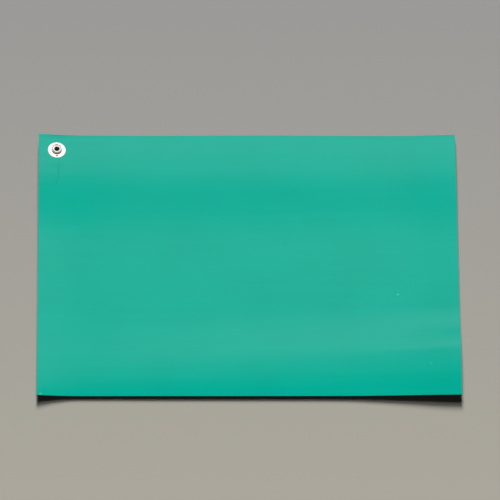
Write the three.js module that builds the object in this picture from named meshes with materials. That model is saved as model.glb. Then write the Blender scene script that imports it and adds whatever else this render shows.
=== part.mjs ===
// Anti static bench mat: a sheet of two-layer rubber with one snap stud for its earth lead.
// Millimetres, +Z up. The mat lies on its underside, its long side along X, and its near long edge is at -Y.
// The origin is at the middle of the mat's plan, on the level that the mat lies on.
import * as THREE from "three";

// Sheet: A3 format
const MAT_LENGTH = 420;
const MAT_WIDTH = 297;
const SURFACE_THICKNESS = 0.5;
const BASE_THICKNESS = 1.5;

// Far end: the sheet rises to a low crest beside the far edge and falls again to the edge
const FAR_REACH = 133;
const FAR_CREST_INSET = 40;
const FAR_DROP_MIDDLE = 0.75;
const FAR_DROP_ENDS = 1.45;
const FAR_EDGE_LIFT = 0.3;
const FAR_HUMP_HEIGHT = 0.85;
const FAR_HUMP_CENTRE = 10;
const FAR_HUMP_HALF_LENGTH = 112;
const FAR_CORNER_LIFT = 1.2;
const FAR_CORNER_REACH = 105;

// Near end: a shallow roll that drops to the edge, and a right corner that stands off the bench
const NEAR_REACH = 103;
const NEAR_CREST_INSET_LEFT = 23;
const NEAR_CREST_INSET_RIGHT = 52;
const NEAR_DROP_LEFT = 0.45;
const NEAR_DROP_RIGHT = 2.1;
const NEAR_EDGE_LIFT_RIGHT = 0.35;
const NEAR_CORNER_LIFT = 2.3;
const NEAR_CORNER_REACH = 130;

// Short ends: the left one curls up steadily, the right one rises and levels off
const LEFT_CURL_LIFT = 2.8;
const LEFT_CURL_REACH = 45;
const RIGHT_CURL_LIFT_FAR = 2.2;
const RIGHT_CURL_LIFT_NEAR = 0.55;
const RIGHT_CURL_REACH = 60;

// Snap: a stud on top, and an eyelet that comes through the sheet from below
const SNAP_INSET_SIDE = 18.2;
const SNAP_INSET_FAR = 18.8;
const SNAP_METAL = 0.3;
const SNAP_GAP = 0.3;
const STUD_FLANGE_RADIUS = 9;
const STUD_NECK_RADIUS = 4.6;
const STUD_FOOT_FILLET = 0.3;
const STUD_BEAD_RADIUS = 4.9;
const STUD_BEAD_ROUND = 0.45;
const STUD_HEIGHT = 1.6;
const EYELET_BORE_RADIUS = 2.45;
const EYELET_BEND_RADIUS = 0.6;
const EYELET_CURL_RADIUS = 0.55;
const EYELET_CURL_FLAT = 0.55;
const EYELET_FLANGE_RADIUS = 7;
const CLAMPED_MARGIN = 1.5;
const CLAMPED_FADE = 11;

// Facets
const COLUMN_PITCH = 15;
const ROW_PITCH = 12;
const INNER_SHARE = 0.15;
const TURNED_SEGMENTS = 40;
const HOLE_SEGMENTS = 24;
const BEND_SEGMENTS = 3;
const CURL_SEGMENTS = 5;

const MAT_THICKNESS = SURFACE_THICKNESS + BASE_THICKNESS;
const LEFT = -MAT_LENGTH / 2;
const RIGHT = MAT_LENGTH / 2;
const NEAR = -MAT_WIDTH / 2;
const FAR = MAT_WIDTH / 2;
const SNAP_X = LEFT + SNAP_INSET_SIDE;
const SNAP_Y = FAR - SNAP_INSET_FAR;
const EYELET_HOLE_RADIUS = EYELET_BORE_RADIUS + SNAP_METAL + SNAP_GAP;

// A soft step: 1 at distance 0, 0 from the reach on, level at both ends
function fade(distance, reach) {
  const share = THREE.MathUtils.clamp(distance / reach, 0, 1);
  return (1 + Math.cos(Math.PI * share)) / 2;
}

// A curl: 1 at distance 0, 0 from the reach on, steepest at distance 0
function curl(distance, reach) {
  const share = THREE.MathUtils.clamp(distance / reach, 0, 1);
  return (1 - share) ** 2;
}

// A settling: 1 at distance 0 and level there, then down to a long soft landing at the reach
function settle(distance, reach) {
  const share = THREE.MathUtils.clamp(distance / reach, 0, 1);
  return (1 - share) ** 3 * (1 + 3 * share);
}

// Height across a long edge: up from the level to the crest, then down by the drop to the edge
function rolledEdge(inset, reach, crestInset, drop, edgeHeight) {
  if (inset >= crestInset) {
    return (edgeHeight + drop) * settle(inset - crestInset, reach - crestInset);
  }
  return edgeHeight + drop * (1 - (1 - inset / crestInset) ** 3);
}

// Height of the underside above the bench, as the sheet lies without its snap
function freeHeight(x, y) {
  const rightward = (x - LEFT) / MAT_LENGTH;
  const farward = (y - NEAR) / MAT_WIDTH;
  const hump = fade(Math.abs(x - FAR_HUMP_CENTRE), FAR_HUMP_HALF_LENGTH);
  const farCorner = FAR_CORNER_LIFT * fade(x - LEFT, FAR_CORNER_REACH);
  const farEdge = FAR_EDGE_LIFT + FAR_HUMP_HEIGHT * hump + farCorner;
  const farDrop = THREE.MathUtils.lerp(FAR_DROP_ENDS, FAR_DROP_MIDDLE, hump);
  const nearCorner = NEAR_CORNER_LIFT * fade(RIGHT - x, NEAR_CORNER_REACH);
  const nearEdge = NEAR_EDGE_LIFT_RIGHT * rightward + nearCorner;
  const nearInset = THREE.MathUtils.lerp(NEAR_CREST_INSET_LEFT, NEAR_CREST_INSET_RIGHT, rightward);
  const nearDrop = THREE.MathUtils.lerp(NEAR_DROP_LEFT, NEAR_DROP_RIGHT, rightward);
  const rightLift = THREE.MathUtils.lerp(RIGHT_CURL_LIFT_NEAR, RIGHT_CURL_LIFT_FAR, farward);
  return rolledEdge(FAR - y, FAR_REACH, FAR_CREST_INSET, farDrop, farEdge)
    + rolledEdge(y - NEAR, NEAR_REACH, nearInset, nearDrop, nearEdge)
    + LEFT_CURL_LIFT * curl(x - LEFT, LEFT_CURL_REACH)
    + rightLift * fade(RIGHT - x, RIGHT_CURL_REACH);
}

// The snap clamps the sheet flat, in the plane that touches the free sheet there
const clampedPlane = (() => {
  const step = 0.5;
  return {
    height: freeHeight(SNAP_X, SNAP_Y),
    slopeX: (freeHeight(SNAP_X + step, SNAP_Y) - freeHeight(SNAP_X - step, SNAP_Y)) / (2 * step),
    slopeY: (freeHeight(SNAP_X, SNAP_Y + step) - freeHeight(SNAP_X, SNAP_Y - step)) / (2 * step),
  };
})();

// Height of the finished mat's underside above the bench
function undersideHeight(x, y) {
  const { height, slopeX, slopeY } = clampedPlane;
  const clamped = height + slopeX * (x - SNAP_X) + slopeY * (y - SNAP_Y);
  const beyondClamp = Math.hypot(x - SNAP_X, y - SNAP_Y) - STUD_FLANGE_RADIUS - CLAMPED_MARGIN;
  return THREE.MathUtils.lerp(freeHeight(x, y), clamped, fade(beyondClamp, CLAMPED_FADE));
}

// Grid lines through every stop, with even steps of about the pitch between them
function gridLines(stops, pitch) {
  const sorted = [...stops].sort((a, b) => a - b);
  const lines = [sorted[0]];
  for (let i = 1; i < sorted.length; i++) {
    const count = Math.max(1, Math.round((sorted[i] - sorted[i - 1]) / pitch));
    for (let step = 1; step <= count; step++) {
      lines.push(THREE.MathUtils.lerp(sorted[i - 1], sorted[i], step / count));
    }
  }
  return lines;
}

// Plan of the sheet in triangles: a grid of cells, and two fields that are meshed from their borders.
// The level field is the middle that lies on the bench. The snap field has the eyelet's hole.
function sheetPlan() {
  const snapHalf = (STUD_FLANGE_RADIUS + CLAMPED_MARGIN) * Math.SQRT1_2;
  const level = {
    x0: LEFT + LEFT_CURL_REACH,
    x1: RIGHT - RIGHT_CURL_REACH,
    y0: NEAR + NEAR_REACH,
    y1: FAR - FAR_REACH,
  };
  const clamped = {
    x0: SNAP_X - snapHalf,
    x1: SNAP_X + snapHalf,
    y0: SNAP_Y - snapHalf,
    y1: SNAP_Y + snapHalf,
  };
  const columns = gridLines([LEFT, level.x0, level.x1, RIGHT, clamped.x0, clamped.x1], COLUMN_PITCH);
  const rows = gridLines([NEAR, level.y0, level.y1, FAR, clamped.y0, clamped.y1], ROW_PITCH);

  const points = [];
  const triangles = [];
  const numbers = new Map();
  const numberOf = (x, y) => {
    const key = `${x},${y}`;
    if (!numbers.has(key)) {
      numbers.set(key, points.length);
      points.push(new THREE.Vector2(x, y));
    }
    return numbers.get(key);
  };
  const within = (cell, field) =>
    cell.x0 >= field.x0 && cell.x1 <= field.x1 && cell.y0 >= field.y0 && cell.y1 <= field.y1;
  for (let i = 0; i + 1 < columns.length; i++) {
    for (let j = 0; j + 1 < rows.length; j++) {
      const cell = { x0: columns[i], x1: columns[i + 1], y0: rows[j], y1: rows[j + 1] };
      if (within(cell, level) || within(cell, clamped)) continue;
      const corners = [[cell.x0, cell.y0], [cell.x1, cell.y0], [cell.x1, cell.y1], [cell.x0, cell.y1]];
      const [a, b, c, d] = corners.map(([x, y]) => numberOf(x, y));
      triangles.push([a, b, c], [a, c, d]);
    }
  }

  // The stretch between a field's border and a clockwise loop inside it
  const meshBorder = (field, loop) => {
    const across = columns.filter((x) => x >= field.x0 && x <= field.x1);
    const along = rows.filter((y) => y >= field.y0 && y <= field.y1);
    const border = [
      ...across.slice(0, -1).map((x) => new THREE.Vector2(x, field.y0)),
      ...along.slice(0, -1).map((y) => new THREE.Vector2(field.x1, y)),
      ...across.slice(1).reverse().map((x) => new THREE.Vector2(x, field.y1)),
      ...along.slice(1).reverse().map((y) => new THREE.Vector2(field.x0, y)),
    ];
    const all = [...border, ...loop];
    for (const face of THREE.ShapeUtils.triangulateShape(border, [loop])) {
      triangles.push(face.map((k) => numberOf(all[k].x, all[k].y)));
    }
  };

  const innerEnds = (from, to) =>
    [INNER_SHARE, 1 - INNER_SHARE].map((share) => THREE.MathUtils.lerp(from, to, share));
  const [innerX0, innerX1] = innerEnds(level.x0, level.x1);
  const [innerY0, innerY1] = innerEnds(level.y0, level.y1);
  const inner = [[innerX0, innerY0], [innerX0, innerY1], [innerX1, innerY1], [innerX1, innerY0]];
  meshBorder(level, inner.map(([x, y]) => new THREE.Vector2(x, y)));
  const [a, b, c, d] = inner.map(([x, y]) => numberOf(x, y));
  triangles.push([a, c, b], [a, d, c]);

  const hole = [];
  for (let k = 0; k < HOLE_SEGMENTS; k++) {
    const angle = -2 * Math.PI * k / HOLE_SEGMENTS;
    const [x, y] = [Math.cos(angle), Math.sin(angle)].map((side) => EYELET_HOLE_RADIUS * side);
    hole.push(new THREE.Vector2(SNAP_X + x, SNAP_Y + y));
  }
  meshBorder(clamped, hole);
  return { points, triangles };
}

// Closed geometry between two levels of the sheet, counted up from its underside
function layerGeometry({ points, triangles }, lower, upper) {
  const positions = [];
  for (const level of [lower, upper]) {
    for (const { x, y } of points) {
      positions.push(x, y, undersideHeight(x, y) + level);
    }
  }
  const above = points.length;
  const index = [];
  const openEdges = new Map();
  for (const [a, b, c] of triangles) {
    index.push(a, c, b, a + above, b + above, c + above);
    for (const [from, to] of [[a, b], [b, c], [c, a]]) {
      if (!openEdges.delete(`${to},${from}`)) openEdges.set(`${from},${to}`, [from, to]);
    }
  }
  for (const [from, to] of openEdges.values()) {
    index.push(from, to, to + above, from, to + above, from + above);
  }
  const geometry = new THREE.BufferGeometry();
  geometry.setAttribute("position", new THREE.Float32BufferAttribute(positions, 3));
  geometry.setIndex(index);
  geometry.computeVertexNormals();
  return geometry;
}

// A turned piece about Z, from its closed outline of [radius, height] points
function turned(outline) {
  const profile = [...outline, outline[0]].map(([radius, height]) => new THREE.Vector2(radius, height));
  return new THREE.LatheGeometry(profile, TURNED_SEGMENTS).rotateX(Math.PI / 2);
}

// Outline points on an arc, from one angle to another in radians
function arc(centreRadius, centreHeight, radius, fromAngle, toAngle, segments) {
  const points = [];
  for (let step = 0; step <= segments; step++) {
    const angle = THREE.MathUtils.lerp(fromAngle, toAngle, step / segments);
    points.push([centreRadius + radius * Math.cos(angle), centreHeight + radius * Math.sin(angle)]);
  }
  return points;
}

const QUARTER = Math.PI / 2;
const HALF = Math.PI;

// The snap is drawn upright, with the sheet's top face at height 0, and leans with the clamped plane
const sheetNormal = new THREE.Vector3(-clampedPlane.slopeX, -clampedPlane.slopeY, 1).normalize();
const STUD_SEAT = SNAP_GAP;

// Stud: a pressed cap with a flat flange, a neck and a bead round its top, open in the middle
function studGeometry() {
  const rim = SNAP_METAL / 2;
  const footRadius = STUD_NECK_RADIUS + STUD_FOOT_FILLET;
  const footHeight = STUD_SEAT + SNAP_METAL + STUD_FOOT_FILLET;
  const beadCentre = STUD_BEAD_RADIUS - STUD_BEAD_ROUND;
  const beadHeight = STUD_SEAT + STUD_HEIGHT - STUD_BEAD_ROUND;
  const neckAngle = -Math.acos((STUD_NECK_RADIUS - beadCentre) / STUD_BEAD_ROUND);
  const neckTop = beadHeight + STUD_BEAD_ROUND * Math.sin(neckAngle);
  const top = STUD_SEAT + STUD_HEIGHT;
  return turned([
    ...arc(STUD_FLANGE_RADIUS - rim, STUD_SEAT + rim, rim, -QUARTER, QUARTER, BEND_SEGMENTS),
    ...arc(footRadius, footHeight, STUD_FOOT_FILLET, -QUARTER, -HALF, BEND_SEGMENTS),
    ...arc(beadCentre, beadHeight, STUD_BEAD_ROUND, neckAngle, QUARTER, CURL_SEGMENTS),
    [EYELET_HOLE_RADIUS, top],
    [EYELET_HOLE_RADIUS, top - SNAP_METAL],
    ...arc(beadCentre, beadHeight, STUD_BEAD_ROUND - SNAP_METAL, QUARTER, neckAngle, BEND_SEGMENTS),
    [STUD_NECK_RADIUS - SNAP_METAL, neckTop],
    ...arc(footRadius, footHeight, STUD_FOOT_FILLET + SNAP_METAL, -HALF, -QUARTER, BEND_SEGMENTS),
  ]);
}

// Eyelet: a flange under the sheet, a barrel through it, and a flattened rim curled over the stud
function eyeletGeometry() {
  const flangeTop = -MAT_THICKNESS * sheetNormal.z - SNAP_GAP;
  const rim = SNAP_METAL / 2;
  const bendCentre = EYELET_BORE_RADIUS + EYELET_BEND_RADIUS;
  const bendHeight = flangeTop - SNAP_METAL + EYELET_BEND_RADIUS;
  const curlCentre = EYELET_BORE_RADIUS + EYELET_CURL_RADIUS;
  const curlEnd = curlCentre + EYELET_CURL_FLAT;
  const curlHeight = STUD_SEAT + STUD_HEIGHT + SNAP_GAP;
  return turned([
    ...arc(bendCentre, bendHeight, EYELET_BEND_RADIUS, -HALF, -QUARTER, BEND_SEGMENTS),
    ...arc(EYELET_FLANGE_RADIUS - rim, flangeTop - rim, rim, -QUARTER, QUARTER, BEND_SEGMENTS),
    ...arc(bendCentre, bendHeight, EYELET_BEND_RADIUS - SNAP_METAL, -QUARTER, -HALF, BEND_SEGMENTS),
    ...arc(curlCentre, curlHeight, EYELET_CURL_RADIUS - SNAP_METAL, HALF, QUARTER, BEND_SEGMENTS),
    ...arc(curlEnd, curlHeight, EYELET_CURL_RADIUS - SNAP_METAL, QUARTER, 0, BEND_SEGMENTS),
    ...arc(curlEnd, curlHeight, EYELET_CURL_RADIUS, 0, QUARTER, CURL_SEGMENTS),
    ...arc(curlCentre, curlHeight, EYELET_CURL_RADIUS, QUARTER, HALF, CURL_SEGMENTS),
  ]);
}

function namedMesh(name, geometry, material) {
  const mesh = new THREE.Mesh(geometry, material);
  mesh.name = name;
  return mesh;
}

const greenRubber = new THREE.MeshStandardMaterial({ color: 0x2eab97, roughness: 0.5, metalness: 0 });
const blackRubber = new THREE.MeshStandardMaterial({ color: 0x1b1b1d, roughness: 0.7, metalness: 0 });
const studNickel = new THREE.MeshStandardMaterial({ color: 0xd9d6ce, roughness: 0.22, metalness: 1 });
const eyeletNickel = new THREE.MeshStandardMaterial({ color: 0xcfccc4, roughness: 0.28, metalness: 1 });

const plan = sheetPlan();
const sheet = new THREE.Group();
sheet.add(namedMesh("base_layer", layerGeometry(plan, 0, BASE_THICKNESS), blackRubber));
sheet.add(namedMesh("surface_layer", layerGeometry(plan, BASE_THICKNESS, MAT_THICKNESS), greenRubber));

const snap = new THREE.Group();
snap.add(namedMesh("snap_stud", studGeometry(), studNickel));
snap.add(namedMesh("snap_eyelet", eyeletGeometry(), eyeletNickel));
snap.position.set(SNAP_X, SNAP_Y, clampedPlane.height + MAT_THICKNESS);
snap.quaternion.setFromUnitVectors(new THREE.Vector3(0, 0, 1), sheetNormal);

const mat = new THREE.Group();
mat.add(sheet, snap);

export default mat;
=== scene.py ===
"""Anti static bench mat: the looks of a two-layer rubber sheet and its nickel snap stud.

Sizes in the dataclass fields are millimetres, and every mesh is turned to metres when it is made. The height of
the sheet above the bench follows the same formula and values as the construction model.
"""
import logging
import math
from collections.abc import Sequence
from dataclasses import dataclass, field
from enum import Enum

import bmesh
import bpy
import numpy as np
from mathutils import Matrix, Vector


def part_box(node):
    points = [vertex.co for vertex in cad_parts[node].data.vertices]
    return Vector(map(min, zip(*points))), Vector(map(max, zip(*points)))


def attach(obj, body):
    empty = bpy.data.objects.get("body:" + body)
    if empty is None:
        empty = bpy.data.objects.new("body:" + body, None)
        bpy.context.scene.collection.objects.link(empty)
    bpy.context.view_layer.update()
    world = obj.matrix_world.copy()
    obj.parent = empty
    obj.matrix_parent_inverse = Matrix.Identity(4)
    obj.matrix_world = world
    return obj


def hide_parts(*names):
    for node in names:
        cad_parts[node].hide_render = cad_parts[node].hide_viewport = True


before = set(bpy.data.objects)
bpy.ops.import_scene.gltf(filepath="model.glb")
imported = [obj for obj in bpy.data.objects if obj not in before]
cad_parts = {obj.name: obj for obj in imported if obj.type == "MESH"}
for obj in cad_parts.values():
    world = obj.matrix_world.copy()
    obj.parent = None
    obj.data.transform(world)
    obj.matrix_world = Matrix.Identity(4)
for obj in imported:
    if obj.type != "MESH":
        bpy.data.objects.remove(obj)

LOG = logging.getLogger("bench_mat")

MM = 0.001
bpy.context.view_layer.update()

Point = tuple[float, float]
Colour = tuple[float, float, float, float]

# Sockets of the colour mix node, whose names its other data types share
MIX_SHARE, MIX_BASE, MIX_OTHER, MIX_RESULT = 0, 6, 7, 2


class Slot(Enum):
    """Material slots of the record that the pieces take their finish from."""

    GREEN_RUBBER = "green_rubber"
    BLACK_RUBBER = "black_rubber"
    STUD_NICKEL = "stud_nickel"
    EYELET_NICKEL = "eyelet_nickel"


class Tone(Enum):
    """What a mark on the rubber does to the colour under it."""

    DARKER = "darker"
    PALER = "paler"


def linear(code: str) -> Colour:
    """Turns an sRGB hex value into linear colour.

    Args:
        code: six hex digits, with or without a leading hash.

    Returns:
        Red, green, blue and an alpha of 1.
    """
    digits = code.lstrip("#")
    shares = [int(digits[k:k + 2], 16) / 255 for k in (0, 2, 4)]
    red, green, blue = (s / 12.92 if s <= 0.04045 else ((s + 0.055) / 1.055) ** 2.4 for s in shares)
    return (red, green, blue, 1.0)


def add_node(
    tree: bpy.types.NodeTree,
    kind: str,
    inputs: dict[str | int, object] | None = None,
    **settings: object,
) -> bpy.types.Node:
    """Adds a node with its settings, its values and its links.

    Args:
        tree: the node tree that takes the node.
        kind: the node's type name.
        inputs: for each input socket, by name or number, a value or the output socket to link to it.
        settings: attributes of the node, such as its operation.

    Returns:
        The new node.
    """
    node = tree.nodes.new(kind)
    for name, value in settings.items():
        setattr(node, name, value)
    for key, value in (inputs or {}).items():
        if isinstance(value, bpy.types.NodeSocket):
            tree.links.new(value, node.inputs[key])
        else:
            node.inputs[key].default_value = value
    return node


def limits(source: Point, target: Point) -> dict[str, float]:
    """Gives the range that a map range node reads and the one that it gives, by its sockets' names."""
    return {"From Min": source[0], "From Max": source[1], "To Min": target[0], "To Max": target[1]}


def new_material(name: str) -> tuple[bpy.types.Material, bpy.types.NodeTree]:
    """Makes a material with an empty node tree.

    Args:
        name: the material's name.

    Returns:
        The material and its node tree.
    """
    material = bpy.data.materials.new(name)
    material.use_nodes = True
    material.node_tree.nodes.clear()
    return material, material.node_tree


def mesh_object(name: str, points: np.ndarray, faces: Sequence[Sequence[int]]) -> bpy.types.Object:
    """Makes a smooth-shaded mesh object with its faces pointing out.

    Args:
        name: the piece's name.
        points: corner points in millimetres, one row each.
        faces: for each face, the numbers of its corner points.

    Returns:
        The object, linked to the scene.
    """
    mesh = bpy.data.meshes.new(name)
    mesh.from_pydata((np.asarray(points) * MM).tolist(), [], [tuple(face) for face in faces])
    shell = bmesh.new()
    shell.from_mesh(mesh)
    bmesh.ops.recalc_face_normals(shell, faces=shell.faces)
    shell.to_mesh(mesh)
    shell.free()
    mesh.polygons.foreach_set("use_smooth", [True] * len(mesh.polygons))
    piece = bpy.data.objects.new(name, mesh)
    bpy.context.scene.collection.objects.link(piece)
    return piece


def dress(piece: bpy.types.Object, node: str, material: bpy.types.Material) -> None:
    """Puts a finished piece in the place of its CAD node.

    Args:
        piece: the visible piece.
        node: the CAD node that it stands for.
        material: the finish.
    """
    piece.data.materials.append(material)
    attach(piece, "root")
    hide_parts(node)


def fade(distance: np.ndarray, reach: np.ndarray | float) -> np.ndarray:
    """Gives a soft step: 1 at distance 0, 0 from the reach on, level at both ends."""
    return (1 + np.cos(math.pi * np.clip(distance / reach, 0, 1))) / 2


def curl(distance: np.ndarray, reach: float) -> np.ndarray:
    """Gives a curl: 1 at distance 0, 0 from the reach on, steepest at distance 0."""
    return (1 - np.clip(distance / reach, 0, 1)) ** 2


def settle(distance: np.ndarray, reach: np.ndarray | float) -> np.ndarray:
    """Gives a settling: 1 and level at distance 0, with a long soft landing at the reach."""
    share = np.clip(distance / reach, 0, 1)
    return (1 - share) ** 3 * (1 + 3 * share)


def lerp(start: float, end: float, share: np.ndarray) -> np.ndarray:
    """Goes from the start to the end value by the share."""
    return start + (end - start) * share


@dataclass(frozen=True)
class SheetShape:
    """Where the rubber sheet lies: its outline, and how high its edges and corners stand off the bench."""

    length: float
    width: float
    far_reach: float = 133
    far_crest_inset: float = 40
    far_drop_middle: float = 0.75
    far_drop_ends: float = 1.45
    far_edge_lift: float = 0.3
    far_hump_height: float = 0.85
    far_hump_centre: float = 10
    far_hump_half_length: float = 112
    far_corner_lift: float = 1.2
    far_corner_reach: float = 105
    near_reach: float = 103
    near_crest_inset_left: float = 23
    near_crest_inset_right: float = 52
    near_drop_left: float = 0.45
    near_drop_right: float = 2.1
    near_edge_lift_right: float = 0.35
    near_corner_lift: float = 2.3
    near_corner_reach: float = 130
    left_curl_lift: float = 2.8
    left_curl_reach: float = 45
    right_curl_lift_far: float = 2.2
    right_curl_lift_near: float = 0.55
    right_curl_reach: float = 60
    snap_inset_side: float = 18.2
    snap_inset_far: float = 18.8
    clamped_radius: float = 10.5
    clamped_fade: float = 11

    @property
    def left(self) -> float:
        """Gives the left end's place along X."""
        return -self.length / 2

    @property
    def near(self) -> float:
        """Gives the near edge's place along Y."""
        return -self.width / 2

    @property
    def snap(self) -> Point:
        """Gives the snap's place in plan."""
        return (self.left + self.snap_inset_side, -self.near - self.snap_inset_far)

    @staticmethod
    def rolled_edge(
        inset: np.ndarray, reach: float, crest: np.ndarray | float, drop: np.ndarray, edge: np.ndarray
    ) -> np.ndarray:
        """Gives the height across a long edge: up from the level to the crest, then down to the edge.

        Args:
            inset: distance from the edge.
            reach: distance at which the sheet is level.
            crest: distance of the crest from the edge.
            drop: height of the crest above the edge.
            edge: height of the edge.

        Returns:
            The height at each inset.
        """
        inland = (edge + drop) * settle(inset - crest, reach - crest)
        outer = edge + drop * (1 - (1 - np.clip(inset / crest, 0, 1)) ** 3)
        return np.where(inset >= crest, inland, outer)

    def free_height(self, x: np.ndarray, y: np.ndarray) -> np.ndarray:
        """Gives the underside's height above the bench, as the sheet lies without its snap.

        Args:
            x: places along the sheet.
            y: places across the sheet.

        Returns:
            The height at each place.
        """
        right, far = -self.left, -self.near
        rightward, farward = (x - self.left) / self.length, (y - self.near) / self.width
        hump = fade(np.abs(x - self.far_hump_centre), self.far_hump_half_length)
        far_corner = self.far_corner_lift * fade(x - self.left, self.far_corner_reach)
        far_edge = self.far_edge_lift + self.far_hump_height * hump + far_corner
        far_drop = lerp(self.far_drop_ends, self.far_drop_middle, hump)
        near_corner = self.near_corner_lift * fade(right - x, self.near_corner_reach)
        near_edge = self.near_edge_lift_right * rightward + near_corner
        near_crest = lerp(self.near_crest_inset_left, self.near_crest_inset_right, rightward)
        near_drop = lerp(self.near_drop_left, self.near_drop_right, rightward)
        right_lift = lerp(self.right_curl_lift_near, self.right_curl_lift_far, farward)
        return (
            self.rolled_edge(far - y, self.far_reach, self.far_crest_inset, far_drop, far_edge)
            + self.rolled_edge(y - self.near, self.near_reach, near_crest, near_drop, near_edge)
            + self.left_curl_lift * curl(x - self.left, self.left_curl_reach)
            + right_lift * fade(right - x, self.right_curl_reach)
        )

    def clamped_plane(self) -> tuple[float, float, float]:
        """Gives the plane that the snap holds the sheet flat in.

        Returns:
            The underside's height at the snap, and its slopes along X and Y.
        """
        step = 0.5
        x, y = self.snap
        around = np.array([[x, y], [x - step, y], [x + step, y], [x, y - step], [x, y + step]])
        middle, left, right, near, far = self.free_height(around[:, 0], around[:, 1])
        return middle, (right - left) / (2 * step), (far - near) / (2 * step)

    def underside(self, x: np.ndarray, y: np.ndarray) -> np.ndarray:
        """Gives the height of the mat's underside above the bench.

        Args:
            x: places along the sheet.
            y: places across the sheet.

        Returns:
            The height at each place.
        """
        height, slope_x, slope_y = self.clamped_plane()
        dx, dy = x - self.snap[0], y - self.snap[1]
        clamped = height + slope_x * dx + slope_y * dy
        share = fade(np.hypot(dx, dy) - self.clamped_radius, self.clamped_fade)
        free = self.free_height(x, y)
        return free + (clamped - free) * share

    def snap_frame(self, thickness: float) -> Matrix:
        """Gives the snap's place: the sheet's top at the snap, leaning with the clamped plane.

        Args:
            thickness: the sheet's thickness.

        Returns:
            The frame's matrix, in millimetres.
        """
        height, slope_x, slope_y = self.clamped_plane()
        lean = Vector((0, 0, 1)).rotation_difference(Vector((-slope_x, -slope_y, 1)).normalized())
        return Matrix.Translation((*self.snap, height + thickness)) @ lean.to_matrix().to_4x4()


def grid_lines(stops: Sequence[float], pitch: float) -> list[float]:
    """Spaces grid lines evenly between stops.

    Args:
        stops: places that have to get a line.
        pitch: about the step between lines.

    Returns:
        The lines' places in rising order.
    """
    ordered = sorted(stops)
    lines = [ordered[0]]
    for start, end in zip(ordered, ordered[1:]):
        count = max(1, round((end - start) / pitch))
        lines += [start + (end - start) * k / count for k in range(1, count + 1)]
    return lines


@dataclass
class SheetPlan:
    """The sheet's plan in four-sided cells, with a round hole for the eyelet in a ring of its own."""

    shape: SheetShape
    hole_radius: float = 3.05
    pitch: float = 3.0
    field_half: float = 12.0
    field_rings: int = 6
    edge_band: float = 0.5
    points: list[Point] = field(default_factory=list)
    cells: list[tuple[int, int, int, int]] = field(default_factory=list)
    numbers: dict[Point, int] = field(default_factory=dict)
    outer_loop: list[int] = field(default_factory=list)
    hole_loop: list[int] = field(default_factory=list)

    def number(self, point: Point) -> int:
        """Gives the point's number, and adds the point if it is new."""
        if point not in self.numbers:
            self.numbers[point] = len(self.points)
            self.points.append(point)
        return self.numbers[point]

    def build(self) -> "SheetPlan":
        """Fills in the points, the cells and the two loops of border points.

        Returns:
            The plan itself.
        """
        shape, band = self.shape, self.edge_band
        x0, x1, y0, y1 = shape.left + band, -shape.left - band, shape.near + band, -shape.near - band
        sx, sy = shape.snap
        fx0, fx1, fy0, fy1 = (s + k * self.field_half for s in (sx, sy) for k in (-1, 1))
        columns = grid_lines([x0, x1, fx0, fx1], self.pitch)
        rows = grid_lines([y0, y1, fy0, fy1], self.pitch)
        for a, b in zip(columns, columns[1:]):
            for c, d in zip(rows, rows[1:]):
                if not (a >= fx0 and b <= fx1 and c >= fy0 and d <= fy1):
                    self.cells.append(tuple(self.number(p) for p in ((a, c), (b, c), (b, d), (a, d))))
        self.outer_loop = self.border(columns, rows)
        within_x = [x for x in columns if fx0 <= x <= fx1]
        within_y = [y for y in rows if fy0 <= y <= fy1]
        field_border = self.border(within_x, within_y)
        self.hole_loop = field_border
        for ring in range(1, self.field_rings + 1):
            inner = [self.drawn_in(k, ring / self.field_rings) for k in field_border]
            for k, after in enumerate([*range(1, len(inner)), 0]):
                self.cells.append((self.hole_loop[k], self.hole_loop[after], inner[after], inner[k]))
            self.hole_loop = inner
        return self

    def border(self, columns: Sequence[float], rows: Sequence[float]) -> list[int]:
        """Gives the point numbers round a rectangle of grid lines, counter-clockwise.

        Args:
            columns: the rectangle's lines along X.
            rows: the rectangle's lines along Y.

        Returns:
            The numbers of the points on its border.
        """
        near = [(x, rows[0]) for x in columns[:-1]]
        right = [(columns[-1], y) for y in rows[:-1]]
        far = [(x, rows[-1]) for x in columns[:0:-1]]
        left = [(columns[0], y) for y in rows[:0:-1]]
        return [self.number(point) for point in near + right + far + left]

    def drawn_in(self, number: int, share: float) -> int:
        """Adds the point on the way from a border point of the field to the hole's border.

        Args:
            number: the border point's number.
            share: 0 at the border, 1 at the hole.

        Returns:
            The new point's number.
        """
        sx, sy = self.shape.snap
        x, y = self.points[number]
        angle = math.atan2(y - sy, x - sx)
        radius = self.hole_radius + self.edge_band
        to_x, to_y = sx + radius * math.cos(angle), sy + radius * math.sin(angle)
        return self.number((x + (to_x - x) * share, y + (to_y - y) * share))

    def pushed_out(self, number: int, inset: float) -> Point:
        """Moves a border point to a given inset from the cut edge that it belongs to.

        Args:
            number: the border point's number.
            inset: the wanted distance from the cut edge.

        Returns:
            The moved point.
        """
        x, y = self.points[number]
        sx, sy = self.shape.snap
        radius = math.hypot(x - sx, y - sy)
        if radius < self.field_half:
            share = (self.hole_radius + inset) / radius
            return (sx + (x - sx) * share, sy + (y - sy) * share)
        half_x, half_y = -self.shape.left - self.edge_band, -self.shape.near - self.edge_band
        grown = self.edge_band - inset
        on_x, on_y = abs(abs(x) - half_x) < MM, abs(abs(y) - half_y) < MM
        return (x + math.copysign(grown, x) * on_x, y + math.copysign(grown, y) * on_y)


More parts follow.
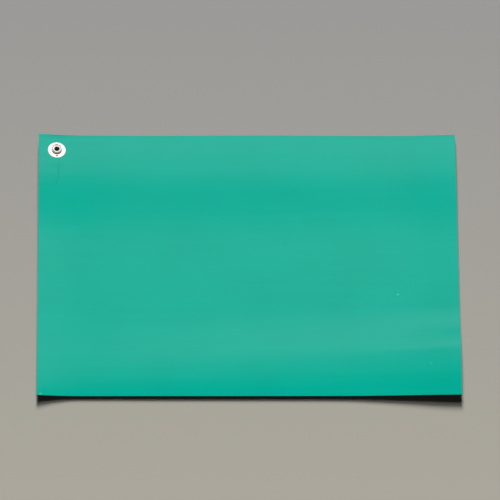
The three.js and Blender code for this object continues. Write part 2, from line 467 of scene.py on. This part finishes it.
@dataclass(frozen=True)
class Mark:
    """A small mark on a surface: a soft upright ellipse, in millimetres from the mat's middle."""

    x: float
    y: float
    length: float
    width: float
    turn: float = 0.0
    tone: Tone = Tone.DARKER
    strength: float = 0.5

    def share(self, tree: bpy.types.NodeTree, place: bpy.types.NodeSocket) -> bpy.types.NodeSocket:
        """Gives how strongly the mark shows at each place.

        Args:
            tree: the material's node tree.
            place: the place's socket.

        Returns:
            The share's socket.
        """
        unbounded = 1.0
        local = add_node(
            tree,
            "ShaderNodeMapping",
            {
                "Vector": place,
                "Location": (self.x * MM, self.y * MM, 0.0),
                "Rotation": (0.0, 0.0, math.radians(self.turn)),
                "Scale": (self.length / 2 * MM, self.width / 2 * MM, unbounded),
            },
            vector_type="TEXTURE",
        )
        reach = add_node(tree, "ShaderNodeVectorMath", {0: local.outputs[0]}, operation="LENGTH")
        fall = limits((1.3, 0.5), (0.0, self.strength))
        return add_node(tree, "ShaderNodeMapRange", {"Value": reach.outputs["Value"], **fall}).outputs[0]


@dataclass(frozen=True)
class CalenderedGreenRubber:
    """Dissipative nitrile rubber, calendered to a sheet: an even matt teal with a broad soft sheen.

    The rolls leave long faint streaks along the sheet and a very fine grain, which widens the highlights.
    """

    teal: str = "#03AC96"
    deep: str = "#02A690"
    fresh: str = "#05B19A"
    # The dark mark colour, also used for the painted shade along the crease below the snap
    mark_dark: str = "#0B5A52"
    mark_pale: str = "#BFE6DD"
    roughness: float = 0.21
    cloud_size: float = 70.0
    streak_length: float = 160.0
    streak_width: float = 7.0
    # The real grain is too fine to show, and is drawn coarser
    grain_size: float = 1.2
    grain_height: float = 0.004
    marks: tuple[Mark, ...] = (
        # Painted shade: the first two marks make a darker line below the snap, where a crease shows less sheen
        Mark(-190.0, 106.0, 19.0, 1.8, 90, strength=0.2),
        Mark(-191.1, 94.5, 13.0, 1.6, 75, strength=0.16),
        Mark(37.4, 24.0, 1.3, 1.0, 20, strength=0.8),
        Mark(84.1, -1.1, 1.1, 0.8, 0, strength=0.7),
        Mark(133.3, 69.7, 1.0, 0.9, 40, strength=0.7),
        Mark(52.1, 74.1, 0.9, 0.7, 0, strength=0.45),
        Mark(-3.8, -117.3, 0.9, 0.8, 0, strength=0.5),
        Mark(146.6, -31.0, 1.5, 0.8, 125, strength=0.7),
        Mark(148.9, -34.2, 1.6, 1.0, 0, tone=Tone.PALER, strength=0.6),
        Mark(180.2, -114.6, 2.2, 3.4, 0, tone=Tone.PALER, strength=0.06),
        Mark(-115.5, -94.4, 7.0, 1.4, 8, strength=0.12),
        Mark(-179.5, 24.9, 5.5, 0.7, 0, strength=0.15),
        Mark(-206.1, -146.9, 1.4, 1.0, 0, tone=Tone.PALER, strength=0.7),
    )

    def build(self) -> bpy.types.Material:
        """Makes the finish.

        Returns:
            The material.
        """
        material, tree = new_material("calendered_green_rubber")
        place = add_node(tree, "ShaderNodeTexCoord").outputs["Object"]
        stretch = (1 / (self.streak_length * MM), 1 / (self.streak_width * MM), 1.0)
        along = add_node(tree, "ShaderNodeMapping", {"Vector": place, "Scale": stretch}).outputs[0]
        cloud, streak, grain = (
            add_node(tree, "ShaderNodeTexNoise", {"Vector": vector, "Scale": scale, "Detail": 2.0}).outputs[0]
            for vector, scale in (
                (place, 1 / (self.cloud_size * MM)),
                (along, 1.0),
                (place, 1 / (self.grain_size * MM)),
            )
        )
        colour = linear(self.teal)
        for pattern, other, low, high, amount in (
            (cloud, self.deep, 0.4, 0.7, 0.6),
            (streak, self.fresh, 0.45, 0.75, 0.5),
            (grain, self.deep, 0.5, 0.75, 0.5),
        ):
            span = limits((low, high), (0.0, amount))
            share = add_node(tree, "ShaderNodeMapRange", {"Value": pattern, **span}).outputs[0]
            mix = {MIX_SHARE: share, MIX_BASE: colour, MIX_OTHER: linear(other)}
            colour = add_node(tree, "ShaderNodeMix", mix, data_type="RGBA").outputs[MIX_RESULT]
        for mark in self.marks:
            other = self.mark_dark if mark.tone is Tone.DARKER else self.mark_pale
            mix = {MIX_SHARE: mark.share(tree, place), MIX_BASE: colour, MIX_OTHER: linear(other)}
            colour = add_node(tree, "ShaderNodeMix", mix, data_type="RGBA").outputs[MIX_RESULT]
        span = limits((0.3, 0.7), (self.roughness - 0.01, self.roughness + 0.01))
        rough = add_node(tree, "ShaderNodeMapRange", {"Value": streak, **span}).outputs[0]
        relief = {"Height": grain, "Distance": self.grain_height * MM, "Strength": 0.6}
        bump = add_node(tree, "ShaderNodeBump", relief).outputs[0]
        surface = {"Base Color": colour, "Roughness": rough, "IOR": 1.5, "Normal": bump}
        shader = add_node(tree, "ShaderNodeBsdfPrincipled", surface).outputs[0]
        add_node(tree, "ShaderNodeOutputMaterial", {"Surface": shader})
        return material


@dataclass(frozen=True)
class CutBlackRubber:
    """Conductive carbon-filled rubber, pressed below and knife-cut at the edges: a dull, slightly grey black.

    The knife leaves fine upright streaks on the cut, and handling leaves a thin dust on the underside.
    """

    black: str = "#17171A"
    dust: str = "#3A3A3C"
    roughness: float = 0.62
    # A knife's streaks are too fine to show, and are drawn coarser
    streak_width: float = 0.8
    streak_height: float = 6.0
    streak_depth: float = 0.03
    dust_size: float = 30.0

    def build(self) -> bpy.types.Material:
        """Makes the finish.

        Returns:
            The material.
        """
        material, tree = new_material("cut_black_rubber")
        place = add_node(tree, "ShaderNodeTexCoord").outputs["Object"]
        fine, tall = 1 / (self.streak_width * MM), 1 / (self.streak_height * MM)
        upright = add_node(tree, "ShaderNodeMapping", {"Vector": place, "Scale": (fine, fine, tall)})
        knife = {"Vector": upright.outputs[0], "Scale": 1.0, "Detail": 3.0}
        streak = add_node(tree, "ShaderNodeTexNoise", knife).outputs[0]
        powder = {"Vector": place, "Scale": 1 / (self.dust_size * MM), "Detail": 8.0}
        dust = add_node(tree, "ShaderNodeTexNoise", powder).outputs[0]
        span = limits((0.5, 0.8), (0.0, 0.35))
        share = add_node(tree, "ShaderNodeMapRange", {"Value": dust, **span}).outputs[0]
        mix = {MIX_SHARE: share, MIX_BASE: linear(self.black), MIX_OTHER: linear(self.dust)}
        colour = add_node(tree, "ShaderNodeMix", mix, data_type="RGBA").outputs[MIX_RESULT]
        span = limits((0.3, 0.7), (self.roughness - 0.06, self.roughness + 0.08))
        rough = add_node(tree, "ShaderNodeMapRange", {"Value": streak, **span}).outputs[0]
        relief = {"Height": streak, "Distance": self.streak_depth * MM, "Strength": 0.5}
        bump = add_node(tree, "ShaderNodeBump", relief).outputs[0]
        surface = {"Base Color": colour, "Roughness": rough, "IOR": 1.52, "Normal": bump}
        shader = add_node(tree, "ShaderNodeBsdfPrincipled", surface).outputs[0]
        add_node(tree, "ShaderNodeOutputMaterial", {"Surface": shader})
        return material


@dataclass(frozen=True)
class PlatedNickel:
    """Nickel plate on pressed brass: a bright warm white metal, softly mirrored.

    Pressing leaves faint rings about the axis. A brown ring of painted shade lies round the bead at its foot,
    and dark patches can be painted over the plate.
    """

    name: str
    centre: tuple[float, float, float]
    plate: str = "#EAE6DE"
    # The brown painted over the plate: painted shade round and behind the bead, and a dark spot on the flange's
    # front
    dark_brown: str = "#5E4730"
    roughness: float = 0.2
    # The pressing's rings are too close to show, and are drawn coarser
    ring_pitch: float = 0.7
    ring_depth: float = 0.003
    # Where the ring of painted shade round the bead's foot lies, and how wide it is
    shade_ring_radius: float = 4.75
    shade_ring_width: float = 0.6
    blotch_size: float = 1.5
    spots: tuple[Mark, ...] = ()

    def build(self) -> bpy.types.Material:
        """Makes the finish.

        Returns:
            The material.
        """
        material, tree = new_material(self.name)
        place = add_node(tree, "ShaderNodeTexCoord").outputs["Object"]
        middle = tuple(-c * MM for c in self.centre)
        local = add_node(tree, "ShaderNodeMapping", {"Vector": place, "Location": middle}).outputs[0]
        flat = add_node(tree, "ShaderNodeVectorMath", {0: local, 1: (1.0, 1.0, 0.0)}, operation="MULTIPLY")
        length = add_node(tree, "ShaderNodeVectorMath", {0: flat.outputs[0]}, operation="LENGTH")
        radius = length.outputs["Value"]
        # Painted shade: a blotchy brown ring round the bead's foot
        off_ring = {0: radius, 1: self.shade_ring_radius * MM}
        offset = add_node(tree, "ShaderNodeMath", off_ring, operation="SUBTRACT").outputs[0]
        distance = add_node(tree, "ShaderNodeMath", {0: offset}, operation="ABSOLUTE").outputs[0]
        speckle = {"Vector": place, "Scale": 1 / (self.blotch_size * MM), "Detail": 4.0}
        blotch = add_node(tree, "ShaderNodeTexNoise", speckle).outputs[0]
        span = limits((self.shade_ring_width * MM, 0.25 * MM), (0.0, 0.9))
        ring = add_node(tree, "ShaderNodeMapRange", {"Value": distance, **span}).outputs[0]
        span = limits((0.35, 0.6), (0.55, 1.0))
        patchy = add_node(tree, "ShaderNodeMapRange", {"Value": blotch, **span}).outputs[0]
        share = add_node(tree, "ShaderNodeMath", {0: ring, 1: patchy}, operation="MULTIPLY").outputs[0]
        mix = {MIX_SHARE: share, MIX_BASE: linear(self.plate), MIX_OTHER: linear(self.dark_brown)}
        colour = add_node(tree, "ShaderNodeMix", mix, data_type="RGBA").outputs[MIX_RESULT]
        # Patches painted in the same brown, among them painted shade behind the bead
        for spot in self.spots:
            mix = {MIX_SHARE: spot.share(tree, place), MIX_BASE: colour, MIX_OTHER: linear(self.dark_brown)}
            colour = add_node(tree, "ShaderNodeMix", mix, data_type="RGBA").outputs[MIX_RESULT]
        turns = {0: radius, 1: 2 * math.pi / (self.ring_pitch * MM)}
        phase = add_node(tree, "ShaderNodeMath", turns, operation="MULTIPLY").outputs[0]
        wave = add_node(tree, "ShaderNodeMath", {0: phase}, operation="SINE").outputs[0]
        relief = {"Height": wave, "Distance": self.ring_depth * MM, "Strength": 0.5}
        bump = add_node(tree, "ShaderNodeBump", relief).outputs[0]
        span = limits((0.3, 0.75), (self.roughness - 0.04, self.roughness + 0.1))
        rough = add_node(tree, "ShaderNodeMapRange", {"Value": blotch, **span}).outputs[0]
        surface = {"Base Color": colour, "Metallic": 1.0, "Roughness": rough, "Normal": bump}
        shader = add_node(tree, "ShaderNodeBsdfPrincipled", surface).outputs[0]
        add_node(tree, "ShaderNodeOutputMaterial", {"Surface": shader})
        return material


@dataclass(frozen=True)
class MattFloor:
    """Backdrop board, sprayed matt: a pale warm grey, with painted shade that makes it darker and cooler to the
    back.
    """

    front: str = "#ABA79C"
    # Painted shade: the darker, cooler colour at the back
    back: str = "#999896"
    front_place: float = -250.0
    back_place: float = 290.0
    mottle_size: float = 25.0
    roughness: float = 0.9

    def build(self) -> bpy.types.Material:
        """Makes the finish.

        Returns:
            The material.
        """
        material, tree = new_material("matt_backdrop_with_painted_shade")
        place = add_node(tree, "ShaderNodeTexCoord").outputs["Object"]
        depth = add_node(tree, "ShaderNodeSeparateXYZ", {0: place}).outputs["Y"]
        speckle = {"Vector": place, "Scale": 1 / (self.mottle_size * MM), "Detail": 3.0}
        mottle = add_node(tree, "ShaderNodeTexNoise", speckle).outputs[0]
        # Painted shade: the colour darkens and cools from the front to the back
        span = limits((self.front_place * MM, self.back_place * MM), (0.0, 1.0))
        share = add_node(tree, "ShaderNodeMapRange", {"Value": depth, **span}).outputs[0]
        mix = {MIX_SHARE: share, MIX_BASE: linear(self.front), MIX_OTHER: linear(self.back)}
        colour = add_node(tree, "ShaderNodeMix", mix, data_type="RGBA").outputs[MIX_RESULT]
        span = limits((0.3, 0.7), (self.roughness - 0.03, self.roughness + 0.03))
        rough = add_node(tree, "ShaderNodeMapRange", {"Value": mottle, **span}).outputs[0]
        surface = {"Base Color": colour, "Roughness": rough, "Specular IOR Level": 0.1}
        shader = add_node(tree, "ShaderNodeBsdfPrincipled", surface).outputs[0]
        add_node(tree, "ShaderNodeOutputMaterial", {"Surface": shader})
        return material


def arc(centre: Point, radius: float, start: float, end: float, steps: int = 4) -> list[Point]:
    """Gives the points of an arc in a section.

    Args:
        centre: the arc's centre.
        radius: its radius.
        start: its first angle in degrees.
        end: its last angle in degrees.
        steps: how many chords it has.

    Returns:
        The points from the first angle to the last.
    """
    angles = [math.radians(start + (end - start) * k / steps) for k in range(steps + 1)]
    return [(centre[0] + radius * math.cos(a), centre[1] + radius * math.sin(a)) for a in angles]


@dataclass
class RubberLayer:
    """One layer of the sheet, between two levels counted up from its underside."""

    plan: SheetPlan
    lower: float
    upper: float
    upper_round: float
    lower_round: float

    def wall(self) -> list[Point]:
        """Gives the cut edge's section, from the top face round to the lower face.

        Returns:
            Insets from the cut edge and levels, without the two ends on the faces' own borders.
        """
        top, bottom = self.upper_round, self.lower_round
        over = arc((top, self.upper - top), top, 90, 180)
        under = arc((bottom, self.lower + bottom), bottom, 180, 270)
        return over + under

    def build(self, name: str) -> bpy.types.Object:
        """Makes the layer's mesh.

        Args:
            name: the piece's name.

        Returns:
            The layer's object.
        """
        plan = self.plan
        count = len(plan.points)
        places = [(x, y, level) for level in (self.upper, self.lower) for x, y in plan.points]
        faces = list(plan.cells)
        faces += [tuple(k + count for k in reversed(cell)) for cell in plan.cells]
        for loop in (plan.outer_loop, plan.hole_loop):
            previous = list(loop)
            for inset, level in self.wall():
                ring = range(len(places), len(places) + len(loop))
                places += [(*plan.pushed_out(k, inset), level) for k in loop]
                faces += self.band(previous, list(ring))
                previous = list(ring)
            faces += self.band(previous, [k + count for k in loop])
        points = np.array(places)
        points[:, 2] += plan.shape.underside(points[:, 0], points[:, 1])
        return mesh_object(name, points, faces)

    @staticmethod
    def band(first: Sequence[int], second: Sequence[int]) -> list[tuple[int, int, int, int]]:
        """Joins two rings of points with four-sided faces.

        Args:
            first: the one ring's point numbers.
            second: the other ring's point numbers, in the same order.

        Returns:
            The faces.
        """
        after = [*range(1, len(first)), 0]
        return [(first[k], first[n], second[n], second[k]) for k, n in enumerate(after)]


@dataclass
class Sheet:
    """The bonded rubber sheet: a thin green face on a black base."""

    shape: SheetShape
    surface_thickness: float = 0.5
    base_thickness: float = 1.5
    corner_round: float = 0.18
    bond_round: float = 0.02

    @property
    def thickness(self) -> float:
        """Gives the sheet's thickness."""
        return self.surface_thickness + self.base_thickness

    def build(self) -> list[bpy.types.Object]:
        """Makes and dresses both layers.

        Returns:
            The two pieces.
        """
        plan = SheetPlan(self.shape).build()
        base = RubberLayer(plan, 0.0, self.base_thickness, self.bond_round, self.corner_round)
        face = RubberLayer(plan, self.base_thickness, self.thickness, self.corner_round, self.bond_round)
        lower = base.build("black_base")
        upper = face.build("green_face")
        dress(lower, "base_layer", CutBlackRubber().build())
        dress(upper, "surface_layer", CalenderedGreenRubber().build())
        return [lower, upper]


@dataclass
class Snap:
    """The earth snap: a pressed stud on top, and an eyelet from below that is curled over inside it."""

    place: Matrix
    sheet_thickness: float
    metal: float = 0.3
    flange_radius: float = 9.0
    flange_top: float = 0.6
    flange_fall: float = 0.18
    rim_round: float = 0.18
    seat: float = 0.02
    neck_radius: float = 4.6
    foot_fillet: float = 0.3
    bead_radius: float = 4.9
    bead_round: float = 0.45
    stud_top: float = 1.9
    hole_radius: float = 3.05
    bore_radius: float = 2.45
    curl_radius: float = 0.55
    curl_flat: float = 0.55
    curl_crest: float = 2.75
    curl_end: float = -30.0
    under_flange_radius: float = 7.0
    under_gap: float = 0.3
    bend_radius: float = 0.6
    segments: int = 96

    def turned(self, name: str, outline: Sequence[Point]) -> bpy.types.Object:
        """Turns a closed outline about the snap's axis.

        Args:
            name: the piece's name.
            outline: radius and height of each point of the section.

        Returns:
            The piece.
        """
        angles = [2 * math.pi * k / self.segments for k in range(self.segments)]
        points = [
            self.place @ Vector((radius * math.cos(angle), radius * math.sin(angle), height))
            for radius, height in outline
            for angle in angles
        ]
        faces = []
        for k in range(len(outline)):
            after = (k + 1) % len(outline)
            first = range(k * self.segments, (k + 1) * self.segments)
            second = range(after * self.segments, (after + 1) * self.segments)
            faces += RubberLayer.band(first, second)
        return mesh_object(name, np.array([tuple(p) for p in points]), faces)

    def stud_outline(self) -> list[Point]:
        """Gives the stud's section: a domed flange, a neck and a bead round its top.

        Returns:
            The closed outline, from the flange's rim over the outside and back inside.
        """
        rim = self.rim_round
        rim_top = self.flange_top - self.flange_fall
        foot = self.neck_radius + self.foot_fillet
        bead = self.bead_radius - self.bead_round
        bead_height = self.stud_top - self.bead_round
        neck_angle = -math.degrees(math.acos((self.neck_radius - bead) / self.bead_round))
        inner = self.bead_round - self.metal
        return [
            (self.flange_radius - 2 * rim, self.seat),
            *arc((self.flange_radius - rim, self.seat + rim), rim, -90, 0),
            *arc((self.flange_radius - rim, rim_top - rim), rim, 0, 80),
            (self.flange_radius - 2.2 * rim, rim_top + 0.02),
            (foot + 0.25, self.flange_top),
            *arc((foot, self.flange_top + self.foot_fillet), self.foot_fillet, 270, 180, 6),
            *arc((bead, bead_height), self.bead_round, neck_angle, 90, 12),
            (self.hole_radius + 0.1, self.stud_top),
            (self.hole_radius, self.stud_top - 0.1),
            (self.hole_radius, self.stud_top - self.metal),
            *arc((bead, bead_height), inner, 90, neck_angle, 4),
            (self.neck_radius - self.metal, 1.0),
            (self.neck_radius - self.metal, self.flange_top - 0.15),
            (foot + 0.2, self.seat + 0.1),
            (foot + 0.4, self.seat),
        ]

    def eyelet_outline(self) -> list[Point]:
        """Gives the eyelet's section: a flange below, a barrel, and a rim curled out over the stud.

        Returns:
            The closed outline, from the barrel's foot over the flange and up to the curl.
        """
        under = -self.sheet_thickness * self.place.to_3x3().col[2].z - self.under_gap
        rim = self.metal / 2
        bend = self.bore_radius + self.bend_radius
        bend_height = under - self.metal + self.bend_radius
        first = self.bore_radius + self.curl_radius
        last = first + self.curl_flat
        height = self.curl_crest - self.curl_radius
        inner = self.curl_radius - self.metal
        return [
            *arc((bend, bend_height), self.bend_radius, -180, -90, 6),
            (self.under_flange_radius - 2 * rim, under - self.metal),
            *arc((self.under_flange_radius - rim, under - rim), rim, -90, 90, 8),
            (self.under_flange_radius - 2 * rim, under),
            *arc((bend, bend_height), self.bend_radius - self.metal, -90, -180, 4),
            *arc((first, height), inner, 180, 90, 4),
            *arc((last, height), inner, 90, self.curl_end, 6),
            *arc((last, height), self.curl_radius, self.curl_end, 90, 12),
            *arc((first, height), self.curl_radius, 90, 180, 10),
        ]

    def build(self) -> list[bpy.types.Object]:
        """Makes and dresses the stud and the eyelet.

        Returns:
            The two pieces.
        """
        centre = tuple(self.place.translation)
        x, y = centre[0], centre[1]
        # Brown patches painted on the flange: the three behind the bead are painted shade, and the first is a
        # dark spot on the flange's front
        shade_and_spot_patches = (
            Mark(x + 0.2, y - 6.8, 2.9, 2.0, strength=0.85),
            Mark(x - 0.2, y + 6.3, 4.0, 1.9, strength=0.75),
            Mark(x - 3.5, y + 5.1, 3.4, 1.3, 42, strength=0.6),
            Mark(x + 3.3, y + 5.1, 3.4, 1.3, -42, strength=0.6),
        )
        stud = self.turned("snap_stud_pressed", self.stud_outline())
        eyelet = self.turned("snap_eyelet_curled", self.eyelet_outline())
        bright = PlatedNickel("nickel_plated_stud", centre, spots=shade_and_spot_patches)
        worn = PlatedNickel("nickel_plated_eyelet", centre, plate="#E4E1DA", roughness=0.24)
        dress(stud, "snap_stud", bright.build())
        dress(eyelet, "snap_eyelet", worn.build())
        return [stud, eyelet]


@dataclass(frozen=True)
class Camera:
    """The photograph's view: a long lens from the front, high above the bench, with a slight roll."""

    azimuth: float = -2.146
    elevation: float = 60.756
    roll: float = 1.888
    look: Point = (1.922, 17.7)
    distance: float = 6298.8
    focal_pixels: float = 6301.0
    image_pixels: int = 500
    sensor: float = 36.0

    def build(self) -> bpy.types.Object:
        """Makes the camera and sets it as the scene's own.

        Returns:
            The camera's object.
        """
        turn, rise, roll = (math.radians(a) for a in (self.azimuth, self.elevation, self.roll))
        back = Vector((math.sin(turn) * math.cos(rise), -math.cos(turn) * math.cos(rise), math.sin(rise)))
        level = Vector((math.cos(turn), math.sin(turn), 0))
        upward = back.cross(level)
        right = math.cos(roll) * level + math.sin(roll) * upward
        up = math.cos(roll) * upward - math.sin(roll) * level
        lens = bpy.data.cameras.new("camera")
        lens.sensor_width = self.sensor
        lens.lens = self.focal_pixels / self.image_pixels * self.sensor
        lens.clip_end = 100.0
        camera = bpy.data.objects.new("camera", lens)
        turned = Matrix((right, up, back)).transposed().to_4x4()
        place = Vector((*self.look, 0)) + self.distance * back
        camera.matrix_world = Matrix.Translation(place * MM) @ turned
        bpy.context.scene.collection.objects.link(camera)
        bpy.context.scene.camera = camera
        return camera


class LightUse(Enum):
    """What a softbox is for: the floor with the mat's shadow, the rubber's shading, or one kind of gloss."""

    FLOOR = "floor"
    RUBBER = "rubber"
    SHEEN = "sheen"
    METAL = "metal"


@dataclass(frozen=True)
class Softbox:
    """A wide soft light far off, which points at the mat's middle and lights one group of pieces."""

    name: str
    azimuth: float
    elevation: float
    half_width: float
    half_height: float
    radiance: float
    use: LightUse
    distance: float = 9.0

    def build(self, lit: Sequence[bpy.types.Object]) -> bpy.types.Object:
        """Makes the light.

        Args:
            lit: the pieces that it lights.

        Returns:
            The light's object.
        """
        light = bpy.data.lights.new(self.name, "AREA")
        light.shape = "RECTANGLE"
        light.size = 2 * self.distance * math.tan(math.radians(self.half_width))
        light.size_y = 2 * self.distance * math.tan(math.radians(self.half_height))
        light.energy = self.radiance * light.size * light.size_y * math.pi
        turn, rise = math.radians(self.azimuth), math.radians(self.elevation)
        toward = Vector((math.sin(turn) * math.cos(rise), math.cos(turn) * math.cos(rise), math.sin(rise)))
        lamp = bpy.data.objects.new(self.name, light)
        lamp.location = toward * self.distance
        lamp.rotation_euler = toward.to_track_quat("Z", "Y").to_euler()
        lamp.visible_glossy = self.use in (LightUse.SHEEN, LightUse.METAL)
        lamp.visible_diffuse = not lamp.visible_glossy
        receivers = bpy.data.collections.new(f"lit_by_{self.name}")
        for piece in lit:
            receivers.objects.link(piece)
        lamp.light_linking.receiver_collection = receivers
        bpy.context.scene.collection.objects.link(lamp)
        return lamp


@dataclass(frozen=True)
class Studio:
    """The pale floor, painted darker and cooler to the back as shade, and the soft lights, each for the floor,
    the rubber or the metal alone.
    """

    floor_half: float = 4000.0
    floor_gap: float = 0.05
    horizon_gloss: float = 0.35
    softboxes: tuple[Softbox, ...] = (
        Softbox("key_low", -1.0, 21.5, 7.0, 5.5, 130.0, LightUse.FLOOR, 40.0),
        Softbox("key_high", -1.0, 33.0, 7.0, 11.0, 18.2, LightUse.FLOOR, 42.0),
        Softbox("fill_front", 180.0, 50.0, 30.0, 20.0, 0.11, LightUse.FLOOR),
        Softbox("overhead", 180.0, 90.0, 8.0, 8.0, 42.6, LightUse.RUBBER),
        Softbox("sheen_core", 7.5, 53.0, 8.0, 9.0, 0.21, LightUse.SHEEN, 9.0),
        Softbox("sheen_middle", 7.5, 53.0, 16.0, 9.0, 0.32, LightUse.SHEEN, 9.5),
        Softbox("sheen_wide", 7.5, 53.0, 25.0, 9.0, 0.32, LightUse.SHEEN, 10.0),
        Softbox("sheen_outer", 7.5, 53.0, 36.0, 9.0, 0.21, LightUse.SHEEN, 10.5),
        Softbox("metal_wide", 7.5, 58.0, 45.0, 32.0, 1.2, LightUse.METAL, 11.0),
        Softbox("metal_core", 12.0, 52.0, 25.0, 18.0, 0.3, LightUse.METAL, 12.0),
        Softbox("metal_front", 187.0, 42.0, 40.0, 28.0, 0.5, LightUse.METAL, 13.0),
    )

    def build(self, rubber: Sequence[bpy.types.Object], metal: Sequence[bpy.types.Object]) -> None:
        """Makes the floor, the lights and the dim surround.

        Args:
            rubber: the sheet's pieces.
            metal: the snap's pieces.
        """
        half, low = self.floor_half, -self.floor_gap
        corners = np.array([(x * half, y * half, low) for x, y in ((-1, -1), (1, -1), (1, 1), (-1, 1))])
        floor = mesh_object("floor", corners, [(0, 1, 2, 3)])
        floor.data.materials.append(MattFloor().build())
        lit = {
            LightUse.FLOOR: [floor],
            LightUse.RUBBER: rubber,
            LightUse.SHEEN: rubber,
            LightUse.METAL: metal,
        }
        for softbox in self.softboxes:
            softbox.build(lit[softbox.use])
        self.surround()
        bpy.context.scene.view_settings.view_transform = "Standard"

    def surround(self) -> None:
        """Makes the dim walls round the bench, which only the gloss sees: pale low down, dark overhead."""
        world = bpy.data.worlds.new("surround")
        bpy.context.scene.world = world
        world.use_nodes = True
        tree = world.node_tree
        tree.nodes.clear()
        direction = add_node(tree, "ShaderNodeTexCoord").outputs["Generated"]
        height = add_node(tree, "ShaderNodeSeparateXYZ", {0: direction}).outputs["Z"]
        span = limits((0.0, 0.7), (self.horizon_gloss, 0.0))
        strength = add_node(tree, "ShaderNodeMapRange", {"Value": height, **span}).outputs[0]
        background = add_node(tree, "ShaderNodeBackground", {"Strength": strength}).outputs[0]
        add_node(tree, "ShaderNodeOutputWorld", {"Surface": background})
        world.cycles_visibility.diffuse = False


def main() -> None:
    """Builds the camera, the mat and the studio, and reports each piece."""
    logging.basicConfig(level=logging.INFO, format="%(message)s")
    Camera().build()
    low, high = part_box("surface_layer")
    shape = SheetShape(length=(high.x - low.x) / MM, width=(high.y - low.y) / MM)
    sheet = Sheet(shape)
    rubber = sheet.build()
    metal = Snap(shape.snap_frame(sheet.thickness), sheet.thickness).build()
    for piece in [*rubber, *metal]:
        LOG.info("%s: %d faces", piece.name, len(piece.data.polygons))
    Studio().build(rubber, metal)


if __name__ == "__main__":
    main()
